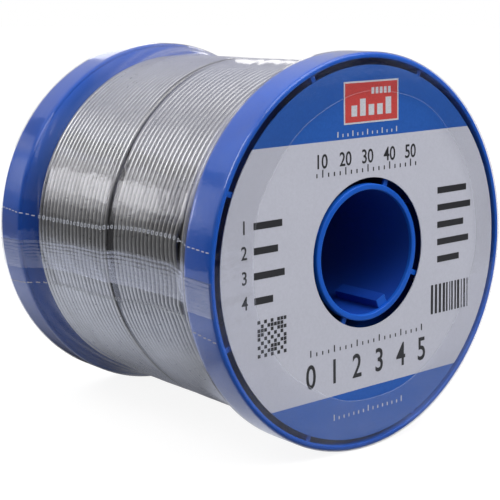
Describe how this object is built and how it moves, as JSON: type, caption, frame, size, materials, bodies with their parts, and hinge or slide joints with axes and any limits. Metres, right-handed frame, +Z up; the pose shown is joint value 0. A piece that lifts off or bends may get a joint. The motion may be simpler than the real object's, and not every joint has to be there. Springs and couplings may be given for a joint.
{
  "type": "solder wire spool",
  "caption": "Blue plastic spool with cupped, ribbed flanges and a keyed bore, wound full of fine solder wire, with a paper label, in clear shrink film.",
  "frame": {"origin": "on the spool's axis, halfway between its two faces", "axes": "+Y along the axis from the labelled front face to the rear face, +Z up with the spool lying on its rims, +X to the right as seen from the front"},
  "size_m": [0.0588, 0.0574, 0.0588],
  "materials": {
    "blue_plastic": "moulded, satin gloss",
    "label_paper": "smooth coated paper",
    "solder_wire": "drawn soft solder, silvery",
    "clear_film": "clear shrink film, slightly hazy"
  },
  "bodies": {
    "root": {"front_flange_half": "blue_plastic", "rear_flange_half": "blue_plastic", "front_label": "label_paper", "wire_inner_layers": "solder_wire", "wire_outer_layer": "solder_wire", "shrink_film_sleeve": "clear_film"}
  },
  "joints": []
}
